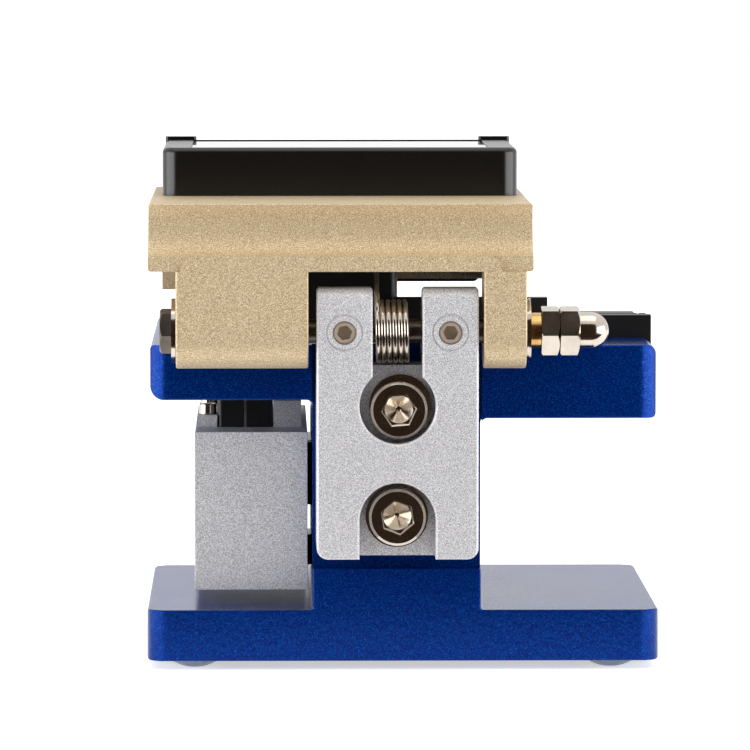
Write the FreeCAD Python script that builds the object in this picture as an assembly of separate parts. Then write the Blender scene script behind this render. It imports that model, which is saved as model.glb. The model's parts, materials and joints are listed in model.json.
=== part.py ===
"""Optical fibre cleaver: a C-shaped bench casting, a sprung lid with fibre clamps and anvil,
and a blade slider on a miniature linear guide. Millimetres.

+Z is up, -Y is the user's side and +X is the slider's side. The pieces are made about the middle of
the casting's base, and moved together at the end, so that the origin is on the bench under the
middle of the whole cleaver.
"""
import FreeCAD, Part
import math
import os

V = FreeCAD.Vector

# ---------------------------------------------------------------- driving dimensions
# fits
gap_running = 0.05        # radial clearance of a shaft, pin or blade that turns
gap_seat = 0.05           # clearance of a screw or an insert in its own hole
gap_slide = 0.15          # clearance beside a piece that slides
gap_air = 0.4             # air beside a casting that swings

# casting: base plate, web and upper plate
foot_height = 1.1         # how far a bumper stands out of the base
base_below = 0.25         # the base's underside is this far below the level that heights start from
foot_r = 4.0
foot_sunk = 1.6
foot_dome_r = 5.5
foot_flat = 1.2           # radius of the flat that a bumper rests on
foot_inset = (5.85, 5.0)   # from the base's side, and from its front or back
base_width = 63.5
base_depth = 55.0
base_thick = 6.1
corner_r = 3.0            # upright corners of both plates
base_round = 0.4
inner_round = 0.8         # where the web meets the upper plate
plate_round = 1.2
plate_tip_round = 1.7     # underside of the thin half's tip
casting_edge = 0.25       # rounding along the outline of its front and back
plate_width = 62.6
plate_top = 39.0
plate_low_side = 29.9     # underside of the thick half, away from the slider
plate_slider_side = 32.2  # underside of the thin half, over the slider
web_left = -9.6
web_right = 11.2
ledge_height = 11.2       # the bracket's seat starts above this ledge
bracket_seat_depth = 2.9  # the seat is this far inside the casting's back face
bracket_seat_side = 0.15  # and reaches this far past either face of the web

# hinge
hinge_behind = 5.0        # hinge axis behind the casting's back face
hinge_height = 41.1
leg_r = 4.6
leg_edge = 0.25
shaft_r = 1.5
lid_left = -15.7
lid_right = 31.4
leg_slim = (-14.9, -9.65)
leg_wide = (11.8, 28.0)
bush_r = 2.2
bush_lip = 1.9            # the slim leg's bush stands out this far
washer_r = 4.0
washer_t = 0.5
nut_flats = 5.5
nut_t = 2.25
nut_turn = 38             # degrees, of the lock nut and the acorn nut
head_flats = 5.0
head_turn = 21
acorn_hex_t = 2.4
acorn_dome = 3.6
acorn_r = 2.28
head_t = 1.45

# hinge bracket
bracket_x = 0.9
bracket_width = 19.8
bracket_back = 9.1        # its back face, behind the casting's back face
bracket_corner = 1.4
bracket_bevel = 0.25      # round the outline of its back face
bracket_bottom = 13.3
ear_r = 5.4
ear_back_r = 1.6
ear_gap = 6.1
ear_gap_floor = 36.8
counterbore_r = 4.67
counterbore_depth = 5.5
bore_pitch = 14.1         # bracket's slotted pair of bores
bore_upper = 32.1
bolt_pitch = 13.15        # casting's tapped pair, drilled a little off the bracket's pair
bolt_drop = 0.08
bolt_shift = (-0.2, 0.0)
bolt_hole_r = 2.7
bolt_thread = 8.0
bolt_turn = (5, 39)       # degrees, of each socket
bolt_socket_edge = 0.15
bolt_washer_r = 3.85
bolt_washer_t = 0.7
bolt_washer_bore = 2.5
bolt_washer_shift = ((-0.25, 0.3), (0.0, -0.15))  # each washer sits a little off its bolt
set_screw_r = 1.4
set_screw_socket = 1.65
set_screw_turn = (12, 0)
set_screw_sunk = 0.2
ring_r = (1.9, 2.45)      # shallow ring turned round each set screw
ring_depth = 0.28

# torsion spring
wire_r = 0.33
coil_r = 3.6
coil_pitch = 0.70
coil_turns = 5            # whole turns, besides the part between the two legs' angles
coil_angles = (270, 45)   # degrees, where the bracket leg and the lid leg leave the coil
coil_steps = 18           # facets per turn
small_coil_steps = 12
coil_to_ear = 0.2         # between the last turn and the ear beside it
spring_foot_reach = 4.6   # the bracket leg stands this far in front of the axis
spring_foot_bend = 0.8
spring_hole_depth = 1.6
spring_wire_room = 0.45   # radius of the hole for the spring's fixed leg
spring_leg_air = 0.3

# lid casting
lid_front = -13.5
lid_top = 56.85
lid_block_low = 48.6
lid_skirt_low = 45.0
lid_draft = 0.1           # each side leans in this far at the top
lid_round = 0.3           # along the lid's top
lid_low_round = 0.4
rear_round = 0.15         # along the rear edge's top
skirt_inset = 1.4
skirt_back = 12.0
lid_ceiling = 54.0
lid_wall = 2.5
rear_lean = 1.1           # the rear edge's top is this far inside the legs' back face
swoop_depth = 1.8
swoop_low = 50.5
swoop_lip = 0.55
band_left = -11.9
band_right = 27.4
band_corner = 1.8

# black cap on the lid
cap_left = -14.6
cap_right = 29.95
cap_front = -15.0
cap_back = 14.2
cap_thick = 6.05
cap_corner = 2.2
cap_edge = 0.7            # rounding along the cap's top
cap_pocket = 0.5
panel_t = 0.4
cap_lip = 0.45            # raised corners at the cap's front
cap_lip_width = 4.0
cap_lip_length = 1.9
cap_lip_corner = 0.4
panel_margin = (3.65, 2.0, 1.2)  # beside it, in front of it and behind it
cap_screw_inset = 6.5     # from the cap's sides and front
cap_screw_rear = 4.7
cap_screw_bite = 3.5      # into the cap
tab_screw_inset = 4.0
tab_corner = 0.8
tab_low = 44.5
tab_left = -10.7
tab_right = 26.1
tab_top = 55.6
tab_screw_height = 51.5

# screws: radius and height of the head, radius of the shank, width of the socket
bracket_bolt = (3.5, 4.0, 2.0, 3.5)
cap_screw_size = (1.7, 1.1, 1.0, 1.4)
tab_screw_size = (1.5, 0.9, 0.8, 1.3)
guide_screw_size = (1.6, 1.1, 0.9, 1.4)
holder_screw_size = (0.95, 0.5, 0.6, 0.8)
stage_screw_size = (1.9, 0.5, 1.0, 1.2)
web_screw_size = (1.9, 2.0, 1.0, 1.6)
rail_screw_size = (1.15, 0.8, 0.7, 1.1)
grip_screw_size = (1.1, 1.3, 0.7, 1.1)
thread_room = 0.5         # a tapped hole goes this much deeper than its screw

# fibre line and blade
fibre_y = 5.0
fibre_z = 40.3
blade_x = 19.6
blade_r = 8.6
blade_t = 0.8
blade_y = 0.7
blade_bevel = 0.6
hub_r = 3.0
hub_half = 0.47
axle_r = 1.5
axle_head_r = 2.6
axle_head_h = 1.1
blade_air = 0.5
slot_half = 4.0
slot_corner = 1.5

# fibre clamps
pad_gap = 4.4             # each pad's inner edge, from the blade
pad_width = 2.9
pad_length = 7.0
pad_air = 0.25            # the fibre's room between closed pads
pad_lower_t = 1.1
holder_margin = 0.8
holder_pocket = 0.5
holder_sunk = 0.6
holder_end = 2.0          # a holder's end beyond its pad, where its screw goes
holder_bite = 3.0
clamp_left = 0.4
clamp_right = 27.2
clamp_half = 5.4
clamp_low = 43.4
clamp_top = 48.2
clamp_lift = 0.8
clamp_corner = 1.0
clamp_lip_low = 41.0      # lip along the clamp's back edge, over the blade
clamp_lip_t = 1.2
housing_low = 49.4
guide_screw_x = (4.4, 10.9)
guide_bite = 2.5
clamp_spring_r = 1.75
clamp_spring_wire = 0.2
clamp_spring_turns = 4
clamp_spring_pocket = 3.0
anvil_half_x = 1.8
anvil_half_y = 2.0
anvil_rest = 42.0
anvil_tip_h = 1.6
anvil_foot_h = 1.4
anvil_stem_r = 1.2
anvil_head_r = 2.1
anvil_head_h = 0.8
anvil_bore_floor = 50.8
anvil_spring_r = 1.65
anvil_spring_wire = 0.2
anvil_spring_turns = 3

# fibre stage and adapter
stage_left = -31.45
stage_right = 0.9
stage_back = 13.5
stage_floor = 37.4
stage_plate_t = 0.8
fence_t = 2.4
fence_tall = 44.0
fence_step = -18.4
fence_low = 41.8
front_fence_t = 1.5
front_fence_top = 40.4
stage_bite = 4.0
stage_screw_x = (-27.5, -4.0)
adapter_left = -31.1
adapter_right = -2.2
adapter_top = 40.2
adapter_air = 0.1
adapter_magnet_r = 1.2
adapter_magnet_t = 0.7
flap_left = -29.9
flap_right = -18.9
flap_t = 1.1
flap_ear = 0.9
flap_air = 0.15
flap_pin_r = 0.45
knuckle_r = 0.95

# slider and its linear guide
slider_left = 11.8
slider_right = 25.9
slider_low = 7.8
slider_under = 4.6        # its top, under the thin half of the upper plate
slider_round = 0.2
slider_edge = 0.08
slider_front = -24.5
slider_back = 19.5
travel_back = 8.0
travel_front = 12.0
guide_height = 21.0       # middle of the rail
block_width = 8.2
block_thick = 3.0
block_length = 16.0
block_end_t = 1.5
block_sunk = 12.0         # depth of the web's holes for the screws' heads
block_bite = 2.0
block_screw_pitch = (10.0, 5.5)
rail_width = 3.0
rail_thick = 2.7
rail_groove_r = 0.35
rail_screw_count = 4
rail_bite = 3.5
guide_total = 4.4
pocket_end = 1.5
pocket_air = 0.5
key_height = 10.9
key_width = 3.9
key_length = 8.0
key_thick = 2.8
key_y = -4.0
stop_air = 0.3
carrier_half = 3.5
carrier_front = -10.3
carrier_back = 11.7
carrier_sunk = 3.3        # its foot, in the slider's top
carrier_below = 5.0       # its top, under the fibre
carrier_corner = 0.6
spacer_t = 0.3            # steel strip between the cheeks, behind the blade
spacer_length = 1.6
grip_span = (12.55, 25.5)  # blocks that hold the carrier down, from side to side
grip_length = 5.0
grip_low_t = 1.5          # block on the side away from the web
grip_under = 1.3          # top of the block on the web's side, under the upper plate
grip_bite = 1.5

# closing magnet
latch_x = 6.0
latch_y = -8.0
latch_r = 2.5
latch_sunk = 2.0
latch_top = 44.7
latch_air = 0.3
striker_r = 2.2
striker_t = 1.5
striker_boss_r = 3.6

# ---------------------------------------------------------------- derived places
base_z = foot_height + base_below
back_y = base_depth / 2
axis_y = back_y + hinge_behind
axis_z = base_z + hinge_height
fibre_level = base_z + fibre_z
blade_z = fibre_level - blade_r
bracket_back_y = back_y + bracket_back
bracket_seat_y = back_y - bracket_seat_depth
legs_back_y = axis_y + leg_r
legs_front_y = axis_y - leg_r
adapter_half = stage_back - fence_t - adapter_air - fibre_y
stage_front = fibre_y - adapter_half - adapter_air - front_fence_t
block_y = (slider_front + slider_back + travel_back - travel_front) / 2
slider_top = plate_slider_side - slider_under
carrier_low = slider_top - carrier_sunk
carrier_top = fibre_z - carrier_below
grip_tops = (plate_slider_side - grip_under, slider_top + grip_low_t)
anvil_tip_low = base_z + anvil_rest
pad_centres = (blade_x - pad_gap - pad_width / 2, blade_x + pad_gap + pad_width / 2)


# ---------------------------------------------------------------- shape helpers
def box(x, y, z):
    """A block between (low, high) pairs."""
    return Part.makeBox(x[1] - x[0], y[1] - y[0], z[1] - z[0], V(x[0], y[0], z[0]))


def rounded_wire(corners, place):
    """A closed outline of corners (u, v) or (u, v, radius); place turns (u, v) into a point."""
    count = len(corners)
    points = [V(c[0], c[1], 0) for c in corners]
    stretches = []
    for i, corner in enumerate(corners):
        radius = corner[2] if len(corner) > 2 else 0
        here, before, after = points[i], points[i - 1], points[(i + 1) % count]
        if radius == 0:
            stretches.append((here, here, here))
            continue
        back = (before - here).normalize()
        ahead = (after - here).normalize()
        half = back.getAngle(ahead) / 2
        reach = radius / math.tan(half)
        middle = (back + ahead).normalize() * (radius / math.sin(half) - radius)
        stretches.append((here + back * reach, here + middle, here + ahead * reach))
    edges = []
    for i, (start, middle, end) in enumerate(stretches):
        if start != end:
            edges.append(Part.Arc(*[place(p.x, p.y) for p in (start, middle, end)]).toShape())
        onward = stretches[(i + 1) % count][0]
        if end.distanceToPoint(onward) > 1e-6:
            edges.append(Part.LineSegment(place(end.x, end.y), place(onward.x, onward.y)).toShape())
    return Part.Wire(edges)


def prism(plane, corners, low, high):
    """An outline in the xy, xz or yz plane, drawn out along the third axis from low to high."""
    place = {
        "xy": lambda u, v: V(u, v, low),
        "xz": lambda u, v: V(u, low, v),
        "yz": lambda u, v: V(low, u, v),
    }[plane]
    along = {"xy": V(0, 0, 1), "xz": V(0, 1, 0), "yz": V(1, 0, 0)}[plane]
    return Part.Face(rounded_wire(corners, place)).extrude(along * (high - low))


def round_block(plane, u, v, w, radius):
    """A block whose four corners in the given plane are rounded."""
    corners = [(u[0], v[0], radius), (u[1], v[0], radius), (u[1], v[1], radius), (u[0], v[1], radius)]
    return prism(plane, corners, w[0], w[1])


def turned(origin, direction, profile):
    """A turned piece: (radius, distance) corners spun about the axis through origin."""
    points = [V(r, 0, t) for r, t in profile]
    face = Part.Face(Part.makePolygon(points + points[:1]))
    shape = face.revolve(V(0, 0, 0), V(0, 0, 1), 360)
    shape.Placement = FreeCAD.Placement(origin, FreeCAD.Rotation(V(0, 0, 1), direction))
    return Part.Solid(shape) if shape.ShapeType == "Shell" else shape


def rod(origin, direction, radius, low, high):
    return turned(origin, direction, [(0, low), (radius, low), (radius, high), (0, high)])


def ring(origin, direction, inner, outer, low, high):
    return turned(origin, direction, [(inner, low), (outer, low), (outer, high), (inner, high)])


def hexagon(origin, direction, across, low, high, turn=0.0):
    """A hexagonal bar; turn is the angle of its first corner about the axis."""
    radius = across / math.sqrt(3)
    points = [V(radius * math.cos(math.radians(turn + 60 * i)),
                radius * math.sin(math.radians(turn + 60 * i)), low) for i in range(6)]
    bar = Part.Face(Part.makePolygon(points + points[:1])).extrude(V(0, 0, high - low))
    bar.Placement = FreeCAD.Placement(origin, FreeCAD.Rotation(V(0, 0, 1), direction))
    return bar


def fuse(first, *others):
    return first.fuse(list(others)).removeSplitter()


def group(shapes):
    return Part.makeCompound(shapes)


def edges_in_plane(shape, axis, value, keep=lambda edge: True):
    """The edges that lie in the plane where the named axis has the given value."""
    found = []
    for edge in shape.Edges:
        span = edge.BoundBox
        low, high = getattr(span, axis + "Min"), getattr(span, axis + "Max")
        if abs(low - value) < 1e-3 and abs(high - value) < 1e-3 and keep(edge):
            found.append(edge)
    return found


def wire_solid(path, radius, sides=8):
    """A round wire along a path of points, faceted so that a coil stays light."""
    rings = []
    for i, point in enumerate(path):
        tangent = (path[min(i + 1, len(path) - 1)] - path[max(i - 1, 0)]).normalize()
        across = tangent.cross(V(1, 0, 0) if abs(tangent.x) < 0.7 else V(0, 0, 1)).normalize()
        beside = tangent.cross(across)
        turns = [2 * math.pi * k / sides for k in range(sides)]
        rings.append([point + across * (radius * math.cos(a)) + beside * (radius * math.sin(a))
                      for a in turns])
    points = [p for one in rings for p in one] + [path[0], path[-1]]
    facets = []
    for k in range(sides):
        after = (k + 1) % sides
        for i in range(len(path) - 1):
            low, high = i * sides, (i + 1) * sides
            facets += [(low + k, low + after, high + after), (low + k, high + after, high + k)]
        last = (len(path) - 1) * sides
        facets += [(len(points) - 2, after, k), (len(points) - 1, last + k, last + after)]
    shell = Part.Shape()
    shell.makeShapeFromMesh((points, facets), 1e-4)
    solid = Part.Solid(Part.Shell(shell.Faces))
    return solid if solid.Volume > 0 else solid.reversed()


def cap_screw(origin, outward, size, shank, turn=0.0):
    """A socket cap screw. origin is the middle of the seat under its head."""
    head_r, head_h, shank_r, socket = size
    edge = head_r * 0.09
    body = turned(origin, outward, [
        (0, -shank), (shank_r, -shank), (shank_r, 0), (head_r, 0), (head_r, head_h - edge),
        (head_r - edge, head_h), (0, head_h)])
    return body.cut(hexagon(origin, outward, socket, head_h * 0.45, head_h + 1, turn))


def drilled_socket(origin, outward, size):
    """The cone that a drill leaves at the bottom of a large screw's socket."""
    floor, half = size[1] * 0.45, size[3] / 2
    return turned(origin, outward, [(0, floor - half * 0.6), (half, floor + 0.01), (0, floor + 0.01)])


def set_screw(origin, outward, radius, length, socket, turn=0.0):
    """A grub screw with a cup point. origin is the middle of its outer end."""
    edge = radius * 0.15
    body = turned(origin, outward, [
        (0, -length), (radius * 0.6, -length), (radius, -length + radius * 0.4),
        (radius, -edge), (radius - edge, 0), (0, 0)])
    return body.cut(hexagon(origin, outward, socket, -length * 0.55, 1, turn))


def hex_nut(origin, direction, across, thick, bore, turn=0.0):
    """A hexagon nut or head with its outer corners chamfered; a bore of 0 leaves it whole."""
    corner, crown_r = across / math.sqrt(3), across / 2 * 0.96
    drop = (corner - crown_r) * math.tan(math.radians(30))
    crown = turned(origin, direction, [
        (0, 0), (corner - drop / 2, 0), (corner, drop / 2), (corner, thick - drop),
        (crown_r, thick), (0, thick)])
    nut = hexagon(origin, direction, across, 0, thick, turn).common(crown)
    return nut.cut(rod(origin, direction, bore, -1, thick + 1)) if bore else nut


# ---------------------------------------------------------------- casting
def foot_places():
    x, y = base_width / 2 - foot_inset[0], base_depth / 2 - foot_inset[1]
    return [(sx * x, sy * y) for sx in (-1, 1) for sy in (-1, 1)]


def make_casting():
    half, plate_half = base_width / 2, plate_width / 2
    z = base_z
    section = prism("xz", [
        (-half, foot_height, base_round), (half, foot_height, base_round),
        (half, z + base_thick, base_round),
        (web_right, z + base_thick, base_round), (web_right, z + plate_slider_side, inner_round),
        (plate_half, z + plate_slider_side, plate_tip_round), (plate_half, z + plate_top, plate_round / 2),
        (-plate_half, z + plate_top, plate_round), (-plate_half, z + plate_low_side, plate_round / 2),
        (web_left, z + plate_low_side, inner_round), (web_left, z + base_thick, base_round),
        (-half, z + base_thick, base_round)], -back_y, back_y)
    section = section.makeFillet(casting_edge, edges_in_plane(section, "Y", back_y)
                                 + edges_in_plane(section, "Y", -back_y))
    above = z + plate_top + 1
    body = section.common(round_block("xy", (-half, half), (-back_y, back_y), (0, above), corner_r))
    top = V(0, 0, z + plate_top)
    down, sideways = V(0, 0, -1), V(1, 0, 0)

    # seat of the hinge bracket, open at the back and the top
    tools = [box((web_left - bracket_seat_side, web_right + bracket_seat_side),
                 (bracket_seat_y, back_y + 1), (z + ledge_height, above))]
    for x, height in bolt_places():
        tools.append(rod(V(x, bracket_seat_y, height), V(0, -1, 0), bracket_bolt[2] + gap_seat,
                         -1, bolt_thread + thread_room))
    # slot that the blade carrier runs in
    tools.append(round_block("xy", (blade_x - slot_half, blade_x + slot_half),
                             (carrier_front - travel_front - gap_air, carrier_back + travel_back + gap_air),
                             (z + plate_slider_side - 1, above), slot_corner))
    # seats of the lower pad holders
    for x in pad_centres:
        tools.append(box(*holder_plan(x, gap_seat), (z + plate_top - holder_sunk, above)))
        for y in holder_screw_places():
            tools.append(rod(V(x, y, 0) + top, down, holder_screw_size[2] + gap_seat,
                             -1, holder_bite + thread_room))
    # recess of the fibre stage, open at the casting's side
    tools.append(box((-half - 1, stage_right + gap_seat), (stage_front - gap_seat, stage_back + gap_seat),
                     (z + stage_floor, above)))
    for x in stage_screw_x:
        tools.append(rod(V(x, fibre_y, z + stage_floor), down, stage_screw_size[2] + gap_seat,
                         -1, stage_bite + thread_room))
    tools.append(rod(V(latch_x, latch_y, 0) + top, down, latch_r + gap_seat, -1, latch_sunk))
    # screws of the guide block and the stop key, sunk in the web's open side
    for y, height in block_screw_places() + [(key_y, z + key_height)]:
        at = V(web_left, y, height)
        tools.append(rod(at, sideways, web_screw_size[0] + gap_slide, -1, block_sunk))
        tools.append(rod(at, sideways, web_screw_size[2] + gap_seat, -1, web_right - web_left + 1))
    for x, y in foot_places():
        tools.append(rod(V(x, y, foot_height), V(0, 0, 1), foot_r + gap_seat, -1, foot_sunk))
    return body.cut(tools)


def make_feet():
    """Clear domed bumpers, each stuck in its round seat."""
    top = foot_height + foot_sunk
    hub = math.sqrt(foot_dome_r ** 2 - foot_flat ** 2)

    def dome(radius):
        return V(radius, 0, hub - math.sqrt(foot_dome_r ** 2 - radius ** 2))

    rim = dome(foot_r)
    outline = Part.Wire([
        Part.LineSegment(V(0, 0, 0), dome(foot_flat)).toShape(),
        Part.Arc(dome(foot_flat), dome((foot_flat + foot_r) / 2), rim).toShape(),
        Part.LineSegment(rim, V(foot_r, 0, top)).toShape(),
        Part.LineSegment(V(foot_r, 0, top), V(0, 0, top)).toShape(),
        Part.LineSegment(V(0, 0, top), V(0, 0, 0)).toShape()])
    foot = Part.Face(outline).revolve(V(0, 0, 0), V(0, 0, 1), 360)
    return group([foot.translated(V(x, y, 0)) for x, y in foot_places()])


# ---------------------------------------------------------------- hinge bracket
def bore_heights():
    return [base_z + bore_upper, base_z + bore_upper - bore_pitch]


def bolt_places():
    middle = sum(bore_heights()) / 2 - bolt_drop
    return [(bracket_x + bolt_shift[0], middle + bolt_pitch / 2),
            (bracket_x + bolt_shift[1], middle - bolt_pitch / 2)]


def ear_centres():
    reach = (bracket_width + ear_gap) / 4
    return [bracket_x + reach, bracket_x - reach]


def make_bracket():
    half = bracket_width / 2
    low = base_z + bracket_bottom
    ear_front, ear_top = axis_y - ear_r, axis_z + ear_r
    shoulder = base_z + plate_top + gap_air
    side = prism("yz", [
        (bracket_seat_y, low), (bracket_back_y, low), (bracket_back_y, ear_top, ear_back_r),
        (ear_front, ear_top, ear_r * 0.9), (ear_front, shoulder), (bracket_seat_y, shoulder)],
        bracket_x - half, bracket_x + half)
    body = side.common(round_block("xz", (bracket_x - half, bracket_x + half), (low, ear_top + 2),
                                   (bracket_seat_y - 1, bracket_back_y + 1), bracket_corner))
    floor_y = bracket_back_y - counterbore_depth
    gap_x = (bracket_x - ear_gap / 2, bracket_x + ear_gap / 2)
    gap_floor = base_z + ear_gap_floor
    upper, lower = bore_heights()
    out = V(0, 1, 0)
    tools = [
        box(gap_x, (bracket_seat_y - 1, bracket_back_y + 1), (gap_floor, ear_top + 1)),
        box(gap_x, (floor_y, bracket_back_y + 1), (upper, gap_floor + 1)),
        rod(V(bracket_x, floor_y, upper), out, counterbore_r, 0, counterbore_depth + 1),
        rod(V(bracket_x, floor_y, lower), out, counterbore_r, 0, counterbore_depth + 1),
        box((bracket_x - counterbore_r, bracket_x + counterbore_r), (floor_y, bracket_back_y + 1),
            (low - 1, lower)),
        rod(V(0, axis_y, axis_z), V(1, 0, 0), shaft_r + gap_seat, -bracket_width, bracket_width)]
    for height in bore_heights():
        tools.append(rod(V(bracket_x, bracket_seat_y, height), out, bolt_hole_r, -1, bracket_back_y))
    for x in ear_centres():
        tools.append(rod(V(x, axis_y, axis_z), out, set_screw_r + gap_seat, 0, bracket_back_y))
        tools.append(turned(V(x, bracket_back_y, axis_z), out, [
            (ring_r[0], gap_seat), (sum(ring_r) / 2, -ring_depth), (ring_r[1], gap_seat)]))
    tools.append(rod(spring_fixed_foot(), V(0, 0, -1), spring_wire_room, -1, spring_hole_depth))
    body = body.cut(tools)

    def sharp(edge):
        middle = edge.BoundBox.Center.z
        at_top_round = abs(middle - ear_top + ear_back_r) < 0.01
        return not at_top_round and abs(middle - axis_z) > 0.01

    return body.makeChamfer(bracket_bevel, edges_in_plane(body, "Y", bracket_back_y, sharp))


def make_bracket_bolts():
    seat = bracket_back_y - counterbore_depth + bolt_washer_t
    shank = seat - bracket_seat_y + bolt_thread
    out = V(0, 1, 0)
    bolts = []
    for (x, height), turn in zip(bolt_places(), bolt_turn):
        at = V(x, seat, height)
        bolt = cap_screw(at, out, bracket_bolt, shank, turn).cut(drilled_socket(at, out, bracket_bolt))
        bolts.append(bolt.makeChamfer(bolt_socket_edge, edges_in_plane(
            bolt, "Y", seat + bracket_bolt[1], lambda edge: edge.Length < bracket_bolt[3])))
    return group(bolts)


def make_bracket_washers():
    seat = bracket_back_y - counterbore_depth
    return group([ring(V(x + dx, seat, height + dz), V(0, 1, 0), bolt_washer_bore, bolt_washer_r,
                       0, bolt_washer_t)
                  for (x, height), (dx, dz) in zip(bolt_places(), bolt_washer_shift)])


def make_set_screws():
    length = bracket_back_y - set_screw_sunk - axis_y - shaft_r - gap_seat
    return group([set_screw(V(x, bracket_back_y - set_screw_sunk, axis_z), V(0, 1, 0), set_screw_r, length,
                            set_screw_socket, turn) for x, turn in zip(ear_centres(), set_screw_turn)])


# ---------------------------------------------------------------- hinge shaft line
def shaft_head_x():
    return leg_wide[1] + gap_seat + washer_t


def lock_nut_x():
    return leg_slim[0] - bush_lip


def make_shaft():
    head_x = shaft_head_x()
    length = head_x - lock_nut_x() + nut_t + acorn_hex_t * 0.9
    at = V(head_x, axis_y, axis_z)
    shank = turned(at, V(-1, 0, 0), [
        (0, -head_t / 2), (shaft_r, -head_t / 2), (shaft_r, length - 0.3),
        (shaft_r - 0.3, length), (0, length)])
    return fuse(hex_nut(at, V(1, 0, 0), head_flats, head_t, 0, head_turn), shank)


def make_shaft_washers():
    slim = V(leg_slim[0] - gap_seat, axis_y, axis_z)
    inner = bush_r + gap_slide
    return group([
        ring(V(shaft_head_x(), axis_y, axis_z), V(-1, 0, 0), shaft_r + gap_slide, washer_r, 0, washer_t),
        ring(slim, V(-1, 0, 0), inner, washer_r - gap_slide, 0, washer_t / 2),
        ring(slim, V(-1, 0, 0), inner, washer_r, washer_t / 2, washer_t)])


def make_lock_nut():
    return hex_nut(V(lock_nut_x(), axis_y, axis_z), V(-1, 0, 0), nut_flats, nut_t, shaft_r + gap_seat,
                   nut_turn)


def make_acorn_nut():
    start = V(lock_nut_x() - nut_t - gap_seat, axis_y, axis_z)
    out = V(-1, 0, 0)
    straight = acorn_hex_t + acorn_dome - acorn_r
    tip = V(0, 0, straight + acorn_r)
    slope = V(acorn_r * math.sin(math.pi / 4), 0, straight + acorn_r * math.cos(math.pi / 4))
    low, side = V(0, 0, acorn_hex_t / 2), V(acorn_r, 0, acorn_hex_t / 2)
    outline = Part.Wire([
        Part.LineSegment(low, side).toShape(),
        Part.LineSegment(side, V(acorn_r, 0, straight)).toShape(),
        Part.Arc(V(acorn_r, 0, straight), slope, tip).toShape(),
        Part.LineSegment(tip, low).toShape()])
    dome = Part.Face(outline).revolve(V(0, 0, 0), V(0, 0, 1), 360)
    dome.Placement = FreeCAD.Placement(start, FreeCAD.Rotation(V(0, 0, 1), out))
    nut = fuse(hex_nut(start, out, nut_flats, acorn_hex_t, 0, nut_turn), dome)
    return nut.cut(rod(start, out, shaft_r + gap_seat, -1, acorn_hex_t * 0.9 + stop_air))


def make_lid_bushes():
    """Brass sleeves in the lid's two legs; the slim leg's sleeve stands out to the lock nut."""
    bore = shaft_r + gap_running
    wide = ring(V(leg_wide[0], axis_y, axis_z), V(1, 0, 0), bore, bush_r, 0, leg_wide[1] - leg_wide[0])
    slim = ring(V(leg_slim[1], axis_y, axis_z), V(-1, 0, 0), bore, bush_r, 0,
                leg_slim[1] - leg_slim[0] + bush_lip - gap_seat)
    return group([wide, slim])


def spring_turns():
    return coil_turns + (coil_angles[1] - coil_angles[0]) % 360 / 360


def spring_ends():
    """The torsion coil runs from its bracket leg to its lid leg, which is beside the +X ear."""
    lid_x = bracket_x + ear_gap / 2 - wire_r - coil_to_ear
    return lid_x - coil_pitch * spring_turns(), lid_x


def spring_fixed_foot():
    return V(spring_ends()[0], axis_y - spring_foot_reach, base_z + ear_gap_floor)


def make_torsion_spring():
    """Coil about the shaft: one leg bends down into the bracket, the other leans on the lid."""
    fixed_x, lid_x = spring_ends()
    foot = spring_fixed_foot()
    below = axis_z - coil_r
    path = [foot - V(0, 0, spring_hole_depth - spring_leg_air)]
    for i in range(4):
        angle = math.radians(30 * i)
        path.append(V(fixed_x, foot.y + spring_foot_bend * (1 - math.cos(angle)),
                      below - spring_foot_bend * (1 - math.sin(angle))))
    turns = spring_turns()
    steps = math.ceil(turns * coil_steps)
    for i in range(steps + 1):
        angle = math.radians(coil_angles[0] + 360 * turns * i / steps)
        path.append(V(fixed_x + (lid_x - fixed_x) * i / steps,
                      axis_y + coil_r * math.cos(angle), axis_z + coil_r * math.sin(angle)))
    lean = V(0, -1, 1).normalize()
    reach = (base_z + lid_block_low - spring_leg_air - wire_r - path[-1].z) / lean.z
    return wire_solid(path + [path[-1] + lean * reach], wire_r)


# ---------------------------------------------------------------- lid
def lid_block():
    """The lid's main block, with a hollow sweep across its rear face."""
    top, low, lip_z = base_z + lid_top, base_z + lid_block_low, base_z + swoop_low
    lip = V(0, legs_back_y - swoop_lip, lip_z)
    rear = V(0, legs_back_y - rear_lean, top - rear_round)
    profile = prism("yz", [
        (lid_front, low), (lip.y, low), (lip.y, lip.z), (rear.y, top, rear_round),
        (lid_front, top, lid_round)], lid_left, lid_right)
    front_view = prism("xz", [
        (lid_left, low, lid_low_round), (lid_right, low, lid_low_round),
        (lid_right - lid_draft, top, lid_round), (lid_left + lid_draft, top, lid_round)],
        lid_front - 1, legs_back_y + 1)
    chord = rear - lip
    sweep_r = (chord.Length ** 2 / 4 + swoop_depth ** 2) / (2 * swoop_depth)
    outward = V(0, chord.z, -chord.y).normalize()
    middle = (lip + rear) / 2 + outward * (sweep_r - swoop_depth)
    sweep = rod(middle, V(1, 0, 0), sweep_r, lid_left - 1, lid_right + 1)
    return profile.common(front_view).cut(sweep)


def lid_legs():
    """Flat band across the lid's rear, and the two round-ended legs that hang from it."""
    low, foot = base_z + lid_block_low, axis_z - leg_r
    band_top = base_z + swoop_low
    pieces = [prism("xz", [
        (band_left, low), (band_right, low), (band_right, band_top, band_corner),
        (band_left, band_top, band_corner)], legs_front_y, legs_back_y)]

    def below_block(edge):
        return edge.BoundBox.ZMin < low - 0.01

    for left, right in (leg_slim, leg_wide):
        leg = prism("yz", [
            (legs_front_y, low), (legs_front_y, foot, leg_r), (legs_back_y, foot, leg_r), (legs_back_y, low)],
            left, right)
        sides = edges_in_plane(leg, "X", left, below_block) + edges_in_plane(leg, "X", right, below_block)
        pieces.append(leg.makeFillet(leg_edge, sides))
    return pieces


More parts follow.
